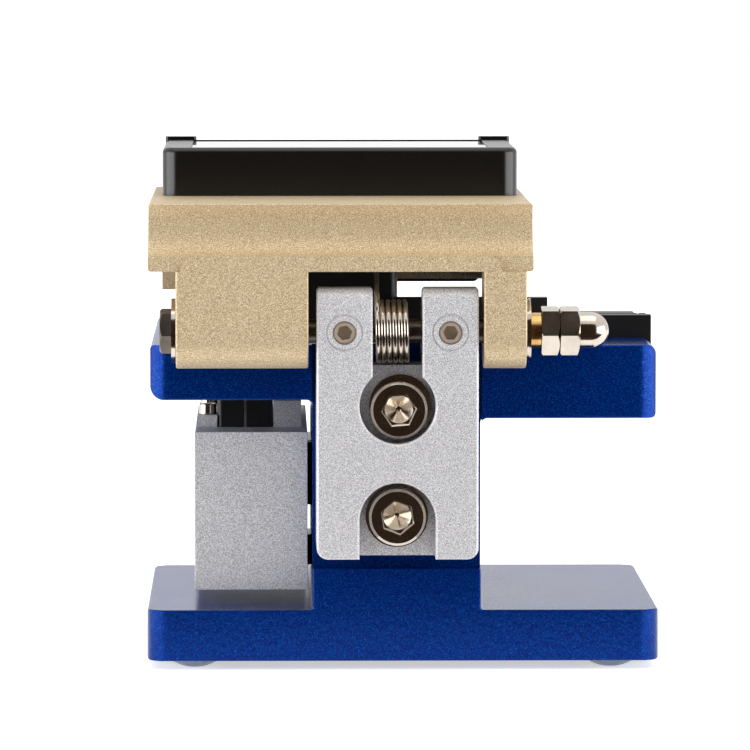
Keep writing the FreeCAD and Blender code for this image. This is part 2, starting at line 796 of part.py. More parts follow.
def lid_holes():
    z, up = base_z, V(0, 0, 1)
    holes = [rod(V(0, axis_y, axis_z), V(1, 0, 0), bush_r + gap_seat, lid_left, lid_right)]
    for x, y in guide_screw_places():
        at = V(x, y, z + housing_low)
        holes.append(rod(at, up, clamp_spring_r + clamp_spring_wire + gap_slide, -1, clamp_spring_pocket))
        holes.append(rod(at, up, guide_screw_size[2] + gap_seat, -1,
                         clamp_spring_pocket + guide_bite + thread_room))
    anvil_at = V(blade_x, fibre_y, z + housing_low)
    holes.append(rod(anvil_at, up, anvil_stem_r + gap_running, -1, lid_top))
    holes.append(rod(anvil_at, up, anvil_head_r + gap_slide, anvil_bore_floor - housing_low, lid_top))
    holes.append(rod(V(latch_x, latch_y, striker_low()), up, striker_r + gap_seat, -1, striker_t))
    for x, y in cap_screw_places():
        holes.append(rod(V(x, y, z + lid_ceiling), up, cap_screw_size[2] + gap_seat, -1, lid_top))
    for x in tab_screw_x():
        holes.append(rod(V(x, lid_front, z + tab_screw_height), V(0, 1, 0), tab_screw_size[2] + gap_seat,
                         -1, lid_wall + 1))
    return holes


def make_lid():
    z = base_z
    body = lid_block().fuse(lid_legs())
    # skirt round the clamp bay
    bay = (lid_left + skirt_inset, lid_right - skirt_inset)
    body = body.fuse(box(bay, (lid_front, skirt_back), (z + lid_skirt_low, z + lid_block_low + 1)))
    inner = (bay[0] + lid_wall, bay[1] - lid_wall)
    body = body.cut(box(inner, (lid_front + lid_wall, skirt_back), (z + lid_skirt_low - 1, z + lid_ceiling)))
    # rib that guides the clamp and the anvil, and boss of the striker
    rib = box((clamp_left, clamp_right), (fibre_y - clamp_half, fibre_y + clamp_half),
              (z + housing_low, z + lid_ceiling + 1))
    boss = rod(V(latch_x, latch_y, striker_low()), V(0, 0, 1), striker_boss_r, striker_t / 2,
               z + lid_ceiling + 1 - striker_low())
    return body.fuse([rib, boss]).cut(lid_holes()).removeSplitter()


def striker_low():
    return base_z + latch_top + latch_air


def cap_screw_places():
    xs = (cap_left + cap_screw_inset, cap_right - cap_screw_inset)
    return [(x, cap_front + cap_screw_inset) for x in xs] + [(xs[0], cap_back - cap_screw_rear)]


def tab_screw_x():
    return (tab_left + tab_screw_inset, tab_right - tab_screw_inset)


def make_cap():
    low, top = base_z + lid_top, base_z + lid_top + cap_thick
    block = round_block("xy", (cap_left, cap_right), (cap_front, cap_back), (low, top), cap_corner)
    block = block.makeFillet(cap_edge, edges_in_plane(block, "Z", top))
    for x in (cap_left, cap_right - cap_lip_width):
        block = block.fuse(round_block("xy", (x, x + cap_lip_width), (cap_front, cap_front + cap_lip_length),
                                       (low, top + cap_lip), cap_lip_corner))
    tools = [box(*panel_plan(0), (top - cap_pocket, top + 1))]
    for x, y in cap_screw_places():
        tools.append(rod(V(x, y, low), V(0, 0, 1), cap_screw_size[2] + gap_seat,
                         -1, cap_screw_bite + thread_room))
    return block.cut(tools)


def panel_plan(grow):
    side, front, back = panel_margin
    return ((cap_left + side - grow, cap_right - side + grow),
            (cap_front + front - grow, cap_back - back + grow))


def make_cap_panel():
    floor = base_z + lid_top + cap_thick - cap_pocket
    return box(*panel_plan(-gap_seat), (floor, floor + panel_t))


def make_cap_screws():
    return group([cap_screw(V(x, y, base_z + lid_ceiling), V(0, 0, -1), cap_screw_size,
                            lid_top - lid_ceiling + cap_screw_bite) for x, y in cap_screw_places()])


def make_finger_tab():
    """Plate down the lid's front face that the finger lifts."""
    low, top = base_z + tab_low, base_z + tab_top
    plate = round_block("xz", (tab_left, tab_right), (low, top), (cap_front, lid_front), tab_corner)
    return plate.cut([rod(V(x, lid_front, base_z + tab_screw_height), V(0, -1, 0),
                          tab_screw_size[2] + gap_seat, -1, 3) for x in tab_screw_x()])


def make_tab_screws():
    shank = lid_front - cap_front + lid_wall - stop_air
    return group([cap_screw(V(x, cap_front, base_z + tab_screw_height), V(0, -1, 0), tab_screw_size, shank)
                  for x in tab_screw_x()])


def make_striker():
    return rod(V(latch_x, latch_y, striker_low()), V(0, 0, 1), striker_r, 0, striker_t)


def make_latch_magnet():
    low, top = base_z + plate_top - latch_sunk, base_z + latch_top
    return turned(V(latch_x, latch_y, low), V(0, 0, 1), [
        (0, 0), (latch_r, 0), (latch_r, top - low - 0.4), (latch_r - 0.4, top - low), (0, top - low)])


# ---------------------------------------------------------------- fibre clamp and anvil
def guide_screw_places():
    """Two guide screws in the free half of the clamp, on the fibre line."""
    return [(x, fibre_y) for x in guide_screw_x]


def make_clamp_plate():
    low, top = base_z + clamp_low, base_z + clamp_top
    plate = round_block("xy", (clamp_left, clamp_right), (fibre_y - clamp_half, fibre_y + clamp_half),
                        (low, top), clamp_corner)
    back = fibre_y + clamp_half
    plate = plate.fuse(box((clamp_left + clamp_corner, clamp_right - clamp_corner),
                           (back - clamp_lip_t, back), (base_z + clamp_lip_low, low + 1)))
    boss_low = fibre_level + pad_air / 2 + pad_lower_t - holder_pocket
    plan_y = (fibre_y - pad_length / 2 - holder_margin, fibre_y + pad_length / 2 + holder_margin)
    for x in pad_centres:
        half = pad_width / 2 + holder_margin
        plate = plate.fuse(box((x - half, x + half), plan_y, (boss_low, low + holder_pocket)))
    tools = [box(*pad_plan(x, gap_seat), (boss_low - 1, boss_low + holder_pocket)) for x in pad_centres]
    tools.append(box((blade_x - anvil_half_x - gap_slide, blade_x + anvil_half_x + gap_slide),
                     (fibre_y - anvil_half_y - gap_slide, fibre_y + anvil_half_y + gap_slide),
                     (low - 1, top + 1)))
    for x, y in guide_screw_places():
        tools.append(rod(V(x, y, low), V(0, 0, 1), guide_screw_size[2] + gap_running, -1, top))
        tools.append(rod(V(x, y, low), V(0, 0, 1), guide_screw_size[0] + gap_slide,
                         -1, guide_screw_size[1] + clamp_lift))
    return plate.cut(tools).removeSplitter()


def make_guide_screws():
    seat = base_z + clamp_low + guide_screw_size[1] + clamp_lift - gap_seat
    length = base_z + housing_low + clamp_spring_pocket + guide_bite - seat
    return group([cap_screw(V(x, y, seat), V(0, 0, -1), guide_screw_size, length)
                  for x, y in guide_screw_places()])


def pad_plan(x, grow=0.0):
    half_x, half_y = pad_width / 2 + grow, pad_length / 2 + grow
    return (x - half_x, x + half_x), (fibre_y - half_y, fibre_y + half_y)


def holder_plan(x, grow=0.0):
    half_x = pad_width / 2 + holder_margin + grow
    half_y = pad_length / 2 + holder_end + grow
    return (x - half_x, x + half_x), (fibre_y - half_y, fibre_y + half_y)


def holder_screw_places():
    reach = (pad_length + holder_end) / 2
    return [fibre_y - reach, fibre_y + reach]


def make_pads(upper):
    low = fibre_level + pad_air / 2 if upper else fibre_level - pad_air / 2 - pad_lower_t
    return group([box(*pad_plan(x), (low, low + pad_lower_t)) for x in pad_centres])


def make_pad_holders():
    pad_low = fibre_level - pad_air / 2 - pad_lower_t
    low = base_z + plate_top - holder_sunk
    top = pad_low + holder_pocket
    holders = []
    for x in pad_centres:
        holder = box(*holder_plan(x), (low, top))
        tools = [box(*pad_plan(x, gap_seat), (pad_low, top + 1))]
        for y in holder_screw_places():
            tools.append(rod(V(x, y, low), V(0, 0, 1), holder_screw_size[2] + gap_seat, -1, top))
        holders.append(holder.cut(tools))
    return group(holders)


def make_holder_screws():
    top = fibre_level - pad_air / 2 - pad_lower_t + holder_pocket
    return group([cap_screw(V(x, y, top), V(0, 0, 1), holder_screw_size, holder_bite)
                  for x in pad_centres for y in holder_screw_places()])


def coil_about(base, radius, wire, turns, length):
    """Compression coil that stands on base along +Z, with its wire inside the length."""
    steps = turns * small_coil_steps
    rise = length - 2 * wire
    return wire_solid([
        base + V(radius * math.cos(2 * math.pi * turns * i / steps),
                 radius * math.sin(2 * math.pi * turns * i / steps), wire + rise * i / steps)
        for i in range(steps + 1)], wire, 6)


def make_clamp_springs():
    low = base_z + clamp_top + gap_seat
    length = base_z + housing_low + clamp_spring_pocket - gap_seat - low
    return group([coil_about(V(x, y, low), clamp_spring_r, clamp_spring_wire, clamp_spring_turns, length)
                  for x, y in guide_screw_places()])


def make_anvil_stem():
    """Stem with a head that its spring holds up, and a foot that carries the tip."""
    foot_low = anvil_tip_low + anvil_tip_h
    foot = box((blade_x - anvil_half_x, blade_x + anvil_half_x),
               (fibre_y - anvil_half_y, fibre_y + anvil_half_y), (foot_low, foot_low + anvil_foot_h))
    head_top = anvil_head_top()
    stem = rod(V(blade_x, fibre_y, foot_low), V(0, 0, 1), anvil_stem_r, 0.2, head_top - foot_low)
    head = rod(V(blade_x, fibre_y, head_top - anvil_head_h), V(0, 0, 1), anvil_head_r, 0, anvil_head_h)
    return fuse(foot, stem, head)


def anvil_head_top():
    return base_z + lid_top - stop_air


def make_anvil_tip():
    return box((blade_x - anvil_half_x, blade_x + anvil_half_x),
               (fibre_y - anvil_half_y, fibre_y + anvil_half_y), (anvil_tip_low, anvil_tip_low + anvil_tip_h))


def make_anvil_spring():
    low = base_z + anvil_bore_floor + gap_seat
    return coil_about(V(blade_x, fibre_y, low), anvil_spring_r, anvil_spring_wire, anvil_spring_turns,
                      anvil_head_top() - anvil_head_h - gap_seat - low)


# ---------------------------------------------------------------- fibre stage and adapter
def make_stage():
    """Tray sunk in the upper plate, with a fence at the back that steps down at its outer end."""
    floor = base_z + stage_floor
    back = (stage_back - fence_t, stage_back)
    tray = fuse(
        box((stage_left, stage_right), (stage_front, stage_back), (floor, floor + stage_plate_t)),
        box((stage_left, stage_right), back, (floor, base_z + fence_low)),
        box((fence_step, stage_right), back, (floor, base_z + fence_tall)),
        box((stage_left, stage_right), (stage_front, stage_front + front_fence_t),
            (floor, base_z + front_fence_top)))
    tools = []
    for x in stage_screw_x:
        tools.append(rod(V(x, fibre_y, floor), V(0, 0, 1), stage_screw_size[2] + gap_seat,
                         -1, stage_plate_t + 1))
    return tray.cut(tools)


def make_stage_screws():
    """Thin flat heads, under the adapter."""
    top = base_z + stage_floor + stage_plate_t
    return group([cap_screw(V(x, fibre_y, top), V(0, 0, 1), stage_screw_size, stage_bite)
                  for x in stage_screw_x])


def flap_axis():
    return V(0, fibre_y + adapter_half - knuckle_r - 0.1, base_z + adapter_top + flap_air + flap_t / 2)


def make_adapter():
    low, top = base_z + stage_floor + stage_plate_t + gap_seat, base_z + adapter_top
    span_y = (fibre_y - adapter_half, fibre_y + adapter_half)
    block = box((adapter_left, adapter_right), span_y, (low, top))
    axis = flap_axis()
    for left in (flap_left - flap_air - flap_ear, flap_right + flap_air):
        ear = fuse(rod(V(left, axis.y, axis.z), V(1, 0, 0), knuckle_r, 0, flap_ear),
                   box((left, left + flap_ear), (axis.y - knuckle_r, axis.y + knuckle_r),
                       (top - 0.5, axis.z)))
        block = block.fuse(ear)
    # fibre groove along the top, and room for the flap's knuckle and the stage's screws
    groove = prism("yz", [(fibre_y - 0.35, top + 0.1), (fibre_y, top - 0.25), (fibre_y + 0.35, top + 0.1)],
                   adapter_left - 1, adapter_right + 1)
    tools = [groove,
             rod(V(0, axis.y, axis.z), V(1, 0, 0), flap_pin_r + gap_seat, flap_left - 3, flap_right + 3),
             rod(V(0, axis.y, axis.z), V(1, 0, 0), knuckle_r + flap_air, flap_left - flap_air,
                 flap_right + flap_air)]
    for x in stage_screw_x:
        tools.append(rod(V(x, fibre_y, low), V(0, 0, 1), stage_screw_size[0] + gap_slide,
                         -1, stage_screw_size[1] + gap_seat))
    for x, y in adapter_magnet_places():
        tools.append(rod(V(x, y, top), V(0, 0, -1), adapter_magnet_r + gap_seat, -1, adapter_magnet_t))
    return block.cut(tools).removeSplitter()


def adapter_magnet_places():
    middle = (flap_left + flap_right) / 2
    return [(middle - 3.0, fibre_y - 3.2), (middle + 3.0, fibre_y - 3.2)]


def make_adapter_magnets():
    top = base_z + adapter_top
    return group([rod(V(x, y, top), V(0, 0, -1), adapter_magnet_r, gap_seat, adapter_magnet_t)
                  for x, y in adapter_magnet_places()])


def make_flap_pin():
    axis = flap_axis()
    reach = flap_air + flap_ear
    return rod(V(0, axis.y, axis.z), V(1, 0, 0), flap_pin_r, flap_left - reach, flap_right + reach)


def make_flap():
    axis = flap_axis()
    low = base_z + adapter_top + flap_air
    front = fibre_y - adapter_half + 0.3
    plate = prism("yz", [(front, low), (axis.y, low), (axis.y, low + flap_t), (front, low + flap_t, 0.5)],
                  flap_left, flap_right)
    knuckle = rod(V(flap_left, axis.y, axis.z), V(1, 0, 0), knuckle_r, 0, flap_right - flap_left)
    flap = fuse(plate, knuckle)
    return flap.cut(rod(V(flap_left, axis.y, axis.z), V(1, 0, 0), flap_pin_r + gap_running, -1,
                        flap_right - flap_left + 1))


# ---------------------------------------------------------------- slider, guide and blade
def block_screw_places():
    along, across = block_screw_pitch
    height = base_z + guide_height
    return [(block_y + sy * along / 2, height + sz * across / 2) for sy in (-1, 1) for sz in (-1, 1)]


def make_slider():
    z = base_z
    body = prism("xz", [
        (slider_left, z + slider_low, slider_round), (slider_right, z + slider_low, slider_round),
        (slider_right, z + slider_top, slider_round), (slider_left, z + slider_top, slider_round)],
        slider_front, slider_back)
    body = body.makeFillet(slider_edge, edges_in_plane(body, "Y", slider_back)
                           + edges_in_plane(body, "Y", slider_front))
    height = z + guide_height
    pocket_z = (height - block_width / 2 - pocket_air, height + block_width / 2 + pocket_air)
    tools = [box((slider_left - 1, web_right + guide_total),
                 (slider_front + pocket_end, slider_back - pocket_end), pocket_z)]
    key_z = z + key_height
    tools.append(box((slider_left - 1, web_right + key_thick + pocket_air),
                     (key_y - key_length / 2 - travel_back - stop_air,
                      key_y + key_length / 2 + travel_front + stop_air),
                     (key_z - key_width / 2 - gap_slide, key_z + key_width / 2 + gap_slide)))
    for y in rail_screw_places():
        tools.append(rod(V(web_right + guide_total, y, height), V(1, 0, 0), rail_screw_size[2] + gap_seat,
                         -1, rail_bite + thread_room))
    # seat of the blade carrier, with room under it for the blade
    seat = carrier_plan(gap_seat)
    tools.append(box(*seat, (z + carrier_low, z + slider_top + 1)))
    tools.append(box((blade_x - blade_slot_half(), blade_x + blade_slot_half()),
                     (blade_y - blade_r - blade_air, blade_y + blade_r + blade_air),
                     (blade_z - blade_r - blade_air, z + slider_top + 1)))
    for x, y, _ in grip_places():
        tools.append(rod(V(x, y, z + slider_top), V(0, 0, -1), grip_screw_size[2] + gap_seat,
                         -1, grip_bite + gap_slide))
    return body.cut(tools)


def blade_slot_half():
    return hub_half + gap_slide / 2


def carrier_plan(grow=0.0):
    return ((blade_x - carrier_half - grow, blade_x + carrier_half + grow),
            (carrier_front - grow, carrier_back + grow))


def make_carrier():
    """Two cheeks in one block, with a slot between them for the blade."""
    z = base_z
    body = round_block("xy", *carrier_plan(), (z + carrier_low, z + carrier_top), carrier_corner)
    slot = (blade_x - blade_slot_half(), blade_x + blade_slot_half())
    strip = (blade_x - spacer_t / 2 - gap_seat, blade_x + spacer_t / 2 + gap_seat)
    back = blade_y + blade_r + blade_air
    tools = [box(slot, (blade_y - blade_r - blade_air, back), (z + carrier_low - 1, z + carrier_top + 1)),
             box(strip, (back - 1, carrier_back + 1), (z + slider_top - gap_seat, z + carrier_top + 1))]
    face = blade_x + carrier_half
    at = V(face, blade_y, blade_z)
    tools.append(turned(at, V(-1, 0, 0), [(0, -1), (axle_head_r + gap_seat, -1), (axle_head_r + gap_seat, 0),
                                          (axle_r + gap_seat, axle_head_h), (0, axle_head_h)]))
    tools.append(rod(at, V(-1, 0, 0), axle_r + gap_seat, 0, 2 * carrier_half + 1))
    return body.cut(tools)


def make_cheek_spacer():
    """Steel strip that keeps the cheeks apart behind the blade."""
    return box((blade_x - spacer_t / 2, blade_x + spacer_t / 2), (carrier_back - spacer_length, carrier_back),
               (base_z + slider_top, base_z + carrier_top - gap_air))


def grip_sides():
    """The X span of the grip blocks on the web's side, then of those on the outer side."""
    inner, outer = grip_span
    return [(inner, blade_x - carrier_half - gap_seat), (blade_x + carrier_half + gap_seat, outer)]


def grip_places():
    """Each grip block's middle in X and Y, and which side it is on."""
    reach = (carrier_back - carrier_front - grip_length) / 2
    middle = (carrier_front + carrier_back) / 2
    return [(sum(span) / 2, middle + end * reach, side)
            for side, span in enumerate(grip_sides()) for end in (-1, 1)]


def make_carrier_grips():
    """Blocks that hold the carrier between them; the inner pair's screws are sunk."""
    low, half = base_z + slider_top, grip_length / 2
    head_r, head_h, shank_r, _ = grip_screw_size
    blocks = []
    for x, y, side in grip_places():
        top = base_z + grip_tops[side]
        block = box(grip_sides()[side], (y - half, y + half), (low, top))
        tools = [rod(V(x, y, low), V(0, 0, 1), shank_r + gap_seat, -1, top)]
        if side == 0:
            tools.append(rod(V(x, y, low), V(0, 0, 1), head_r + gap_slide, grip_low_t, top))
        blocks.append(block.cut(tools))
    return group(blocks)


def make_grip_screws():
    seat = base_z + slider_top + grip_low_t
    return group([cap_screw(V(x, y, seat), V(0, 0, 1), grip_screw_size, grip_low_t + grip_bite)
                  for x, y, _ in grip_places()])


def make_blade_axle():
    face = V(blade_x + carrier_half, blade_y, blade_z)
    length = 2 * carrier_half - 0.2
    screw = turned(face, V(-1, 0, 0), [
        (0, 0), (axle_head_r, 0), (axle_r, axle_head_h), (axle_r, length), (0, length)])
    return screw.cut(box((face.x - 0.6, face.x + 1), (blade_y - axle_head_r, blade_y + axle_head_r),
                         (blade_z - 0.3, blade_z + 0.3)))


def make_blade():
    """Disc with a fine edge all round, ground from both faces."""
    bore, half, edge = hub_r + gap_seat, blade_t / 2, 0.05
    return turned(V(blade_x, blade_y, blade_z), V(1, 0, 0), [
        (bore, -half), (blade_r - blade_bevel, -half), (blade_r, -edge),
        (blade_r, edge), (blade_r - blade_bevel, half), (bore, half)])


def make_blade_hub():
    return ring(V(blade_x, blade_y, blade_z), V(1, 0, 0), axle_r + gap_running, hub_r, -hub_half, hub_half)


def rail_span():
    return slider_front + pocket_end + gap_seat, slider_back - pocket_end - gap_seat


def rail_screw_places():
    low, high = rail_span()
    step = (high - low) / rail_screw_count
    return [low + step * (i + 0.5) for i in range(rail_screw_count)]


def make_rail():
    """Profiled rail with a ball track along each side, screwed in the slider's pocket."""
    low, high = rail_span()
    height = base_z + guide_height
    seat = web_right + guide_total
    face = seat - rail_thick
    half = rail_width / 2
    rail = box((face, seat), (low, high), (height - half, height + half))
    track_x = (face + face + block_grip()) / 2
    tools = [rod(V(track_x, low, height + side * half), V(0, 1, 0), rail_groove_r, -1, high - low + 1)
             for side in (-1, 1)]
    for y in rail_screw_places():
        at = V(face, y, height)
        tools.append(rod(at, V(1, 0, 0), rail_screw_size[2] + gap_seat, -1, rail_thick + 1))
        tools.append(rod(at, V(1, 0, 0), rail_screw_size[0] + gap_seat, -1, rail_head_depth()))
    return rail.cut(tools)


def rail_head_depth():
    return rail_screw_size[1] + gap_seat


def make_rail_screws():
    seat = web_right + guide_total - rail_thick + rail_head_depth()
    shank = rail_thick - rail_head_depth() + rail_bite
    return group([cap_screw(V(seat, y, base_z + guide_height), V(-1, 0, 0), rail_screw_size, shank)
                  for y in rail_screw_places()])


def block_grip():
    """How far the guide block's sides reach along the rail's sides."""
    return web_right + block_thick - (web_right + guide_total - rail_thick)


def guide_section(y, grow):
    """The guide block's channel section between two Y values; grow opens the channel."""
    height = base_z + guide_height
    rail_face = web_right + guide_total - rail_thick
    body = box((web_right, web_right + block_thick), y,
               (height - block_width / 2 + grow, height + block_width / 2 - grow))
    room = rail_width / 2 + gap_slide + grow
    return body.cut(box((rail_face - gap_slide, web_right + block_thick + 1), (y[0] - 1, y[1] + 1),
                        (height - room, height + room)))


def make_guide_block():
    half = block_length / 2 - block_end_t
    block = guide_section((block_y - half, block_y + half), 0)
    tools = [rod(V(web_right, y, height), V(1, 0, 0), web_screw_size[2] + gap_seat,
                 -1, block_bite + gap_slide) for y, height in block_screw_places()]
    return block.cut(tools)


def make_guide_ends():
    """Plastic end caps that close the block's ball channels."""
    half, inner = block_length / 2, block_length / 2 - block_end_t
    return group([guide_section((block_y - half, block_y - inner), 0.1),
                  guide_section((block_y + inner, block_y + half), 0.1)])


def make_guide_screws_in_web():
    seat = web_left + block_sunk
    return group([cap_screw(V(seat, y, height), V(-1, 0, 0), web_screw_size, web_right - seat + block_bite)
                  for y, height in block_screw_places() + [(key_y, base_z + key_height)]])


def make_stop_key():
    height = base_z + key_height
    key = round_block("xy", (web_right, web_right + key_thick),
                      (key_y - key_length / 2, key_y + key_length / 2),
                      (height - key_width / 2, height + key_width / 2), 0.5)
    return key.cut(rod(V(web_right, key_y, height), V(1, 0, 0), web_screw_size[2] + gap_seat,
                       -1, block_bite + gap_slide))


# ---------------------------------------------------------------- the whole cleaver
nodes = {
    "body_casting": make_casting,
    "rubber_feet": make_feet,
    "hinge_bracket": make_bracket,
    "bracket_bolts": make_bracket_bolts,
    "bracket_washers": make_bracket_washers,
    "ear_set_screws": make_set_screws,
    "hinge_shaft": make_shaft,
    "shaft_washers": make_shaft_washers,
    "lock_nut": make_lock_nut,
    "acorn_nut": make_acorn_nut,
    "torsion_spring": make_torsion_spring,
    "lower_pad_holders": make_pad_holders,
    "holder_screws": make_holder_screws,
    "lower_pads": lambda: make_pads(False),
    "latch_magnet": make_latch_magnet,
    "fibre_stage": make_stage,
    "stage_screws": make_stage_screws,
    "fibre_adapter": make_adapter,
    "adapter_magnets": make_adapter_magnets,
    "flap_pin": make_flap_pin,
    "adapter_flap": make_flap,
    "guide_block": make_guide_block,
    "guide_block_ends": make_guide_ends,
    "web_screws": make_guide_screws_in_web,
    "stop_key": make_stop_key,
    "slider_block": make_slider,
    "guide_rail": make_rail,
    "rail_screws": make_rail_screws,
    "blade_carrier": make_carrier,
    "cheek_spacer": make_cheek_spacer,
    "carrier_grips": make_carrier_grips,
    "grip_screws": make_grip_screws,
    "blade_axle": make_blade_axle,
    "cleaving_blade": make_blade,
    "blade_hub": make_blade_hub,
    "lid_casting": make_lid,
    "lid_bushes": make_lid_bushes,
    "lid_cap": make_cap,
    "cap_panel": make_cap_panel,
    "cap_screws": make_cap_screws,
    "finger_tab": make_finger_tab,
    "tab_screws": make_tab_screws,
    "latch_striker": make_striker,
    "clamp_guide_screws": make_guide_screws,
    "clamp_plate": make_clamp_plate,
    "upper_pads": lambda: make_pads(True),
    "clamp_springs": make_clamp_springs,
    "anvil_stem": make_anvil_stem,
    "anvil_tip": make_anvil_tip,
    "anvil_spring": make_anvil_spring,
}

shapes = {name: make() for name, make in nodes.items()}
whole = FreeCAD.BoundBox()
for shape in shapes.values():
    whole.add(shape.optimalBoundingBox(False, False))
to_origin = V(-whole.Center.x, -whole.Center.y, -whole.ZMin)
print("moved by", to_origin)

os.makedirs("parts", exist_ok=True)
for name, shape in shapes.items():
    shape.translate(to_origin)
    shape.exportStep("parts/" + name + ".step")
    print(f"{name:20} solids {len(shape.Solids):2d}  valid {shape.isValid()}  volume {shape.Volume:9.2f}")
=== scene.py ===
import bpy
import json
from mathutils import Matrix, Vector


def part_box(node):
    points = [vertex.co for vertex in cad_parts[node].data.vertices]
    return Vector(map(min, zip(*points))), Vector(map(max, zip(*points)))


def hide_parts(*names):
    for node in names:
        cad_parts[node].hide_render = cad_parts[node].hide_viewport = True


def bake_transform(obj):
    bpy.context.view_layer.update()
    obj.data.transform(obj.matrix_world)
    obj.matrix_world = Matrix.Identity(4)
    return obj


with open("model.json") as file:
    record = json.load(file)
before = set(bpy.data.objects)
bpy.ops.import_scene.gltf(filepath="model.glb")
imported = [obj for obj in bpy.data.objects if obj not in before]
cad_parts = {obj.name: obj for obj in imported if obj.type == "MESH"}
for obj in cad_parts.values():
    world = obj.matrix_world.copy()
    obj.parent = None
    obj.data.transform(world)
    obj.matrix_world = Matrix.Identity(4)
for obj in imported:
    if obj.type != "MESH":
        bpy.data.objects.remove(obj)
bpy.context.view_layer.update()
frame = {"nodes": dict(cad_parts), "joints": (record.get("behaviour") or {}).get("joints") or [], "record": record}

import json
import math
import bpy
import bmesh
from mathutils import Matrix, Vector

nodes = frame["nodes"]
slotOf = {part["node"]: part["material_slot"] for part in frame["record"]["subparts"]}


def addObject(name, data):
    thing = bpy.data.objects.new(name, data)
    bpy.context.scene.collection.objects.link(thing)
    return thing


def addShape(name, shape):
    # turns a finished bmesh into an object
    mesh = bpy.data.meshes.new(name)
    shape.to_mesh(mesh)
    shape.free()
    return addObject(name, mesh)


def aimed(place, aim):
    # where a camera or lamp stands, and what it looks at
    place, aim = Vector(place), Vector(aim)
    turn = (aim - place).to_track_quat("-Z", "Y")
    return Matrix.Translation(place) @ turn.to_matrix().to_4x4()


# camera, looking at the hinge side from a little above
cameraView = {
    "place": (0.016975, 0.7977, 0.09325),
    "aim": (0.003515, 0.0227, 0.03665),
    "lens": 302.0, "clipStart": 0.01,
}


def makeCamera(view):
    data = bpy.data.cameras.new("camera")
    data.lens = view["lens"]
    data.clip_start = view["clipStart"]
    camera = addObject("camera", data)
    camera.matrix_world = aimed(view["place"], view["aim"])
    bpy.context.scene.camera = camera


makeCamera(cameraView)
print("camera placed")


# shader nodes: a setting is a property of the node, or else the value of one of its inputs
def addNode(tree, kind, **settings):
    node = tree.nodes.new("ShaderNode" + kind)
    for name, value in settings.items():
        if hasattr(node, name):
            setattr(node, name, value)
        else:
            node.inputs[name.replace("_", " ")].default_value = value
    return node


def join(tree, source, target):
    tree.links.new(source, target)


def ramp(tree, source, stops):
    # a new ramp has two marks, the first for the dark colour and the second for the light one
    node = tree.nodes.new("ShaderNodeValToRGB")
    for mark, (place, colour) in zip(node.color_ramp.elements, stops):
        mark.position = place
        mark.color = tuple(colour) + (1.0,)
    join(tree, source, node.inputs["Fac"])
    return node


# fine flecks and a rolling unevenness, shared by every painted, blasted or moulded surface
grainLook = {
    "sandDetail": 2.0, "sandRoughness": 0.6, "sandStops": (0.38, 0.62),
    "driftScale": 60.0, "driftDetail": 3.0, "peelScale": 1400.0, "peelDetail": 1.0,
    "bumpDepth": 0.00004,
}


def makeFleckGroup(look):
    group = bpy.data.node_groups.new("finishFlecks", "ShaderNodeTree")
    face = group.interface
    for name in ("Fleck Scale", "Sand Scale", "Fleck Reach", "Peel"):
        face.new_socket(name=name, in_out="INPUT", socket_type="NodeSocketFloat")
    for name in ("Fleck", "Sand", "Drift", "Height"):
        face.new_socket(name=name, in_out="OUTPUT", socket_type="NodeSocketFloat")
    entry = group.nodes.new("NodeGroupInput")
    leave = group.nodes.new("NodeGroupOutput")
    where = addNode(group, "TexCoord")
    cells = addNode(group, "TexVoronoi", feature="F1")
    join(group, where.outputs["Object"], cells.inputs["Vector"])
    join(group, entry.outputs["Fleck Scale"], cells.inputs["Scale"])
    pick = addNode(group, "SeparateColor")
    join(group, cells.outputs["Color"], pick.inputs["Color"])
    chosen = addNode(group, "Math", operation="LESS_THAN")
    join(group, pick.outputs["Red"], chosen.inputs[0])
    join(group, entry.outputs["Fleck Reach"], chosen.inputs[1])
    shade = addNode(group, "Math", operation="MULTIPLY")
    join(group, chosen.outputs[0], shade.inputs[0])
    join(group, pick.outputs["Green"], shade.inputs[1])
    sand = addNode(group, "TexNoise", Detail=look["sandDetail"], Roughness=look["sandRoughness"])
    join(group, where.outputs["Object"], sand.inputs["Vector"])
    join(group, entry.outputs["Sand Scale"], sand.inputs["Scale"])
    drift = addNode(group, "TexNoise", Scale=look["driftScale"], Detail=look["driftDetail"])
    join(group, where.outputs["Object"], drift.inputs["Vector"])
    peel = addNode(group, "TexNoise", Scale=look["peelScale"], Detail=look["peelDetail"])
    join(group, where.outputs["Object"], peel.inputs["Vector"])
    height = addNode(group, "Math", operation="MULTIPLY_ADD")
    join(group, peel.outputs["Fac"], height.inputs[0])
    join(group, entry.outputs["Peel"], height.inputs[1])
    join(group, sand.outputs["Fac"], height.inputs[2])
    join(group, height.outputs[0], leave.inputs["Height"])
    join(group, shade.outputs[0], leave.inputs["Fleck"])
    join(group, sand.outputs["Fac"], leave.inputs["Sand"])
    join(group, drift.outputs["Fac"], leave.inputs["Drift"])
    return group


flecks = makeFleckGroup(grainLook)


def newMaterial(name, **sockets):
    material = bpy.data.materials.new(name)
    material.use_nodes = True
    shader = material.node_tree.nodes["Principled BSDF"]
    for socket, value in sockets.items():
        shader.inputs[socket.replace("_", " ")].default_value = value
    return material, material.node_tree, shader


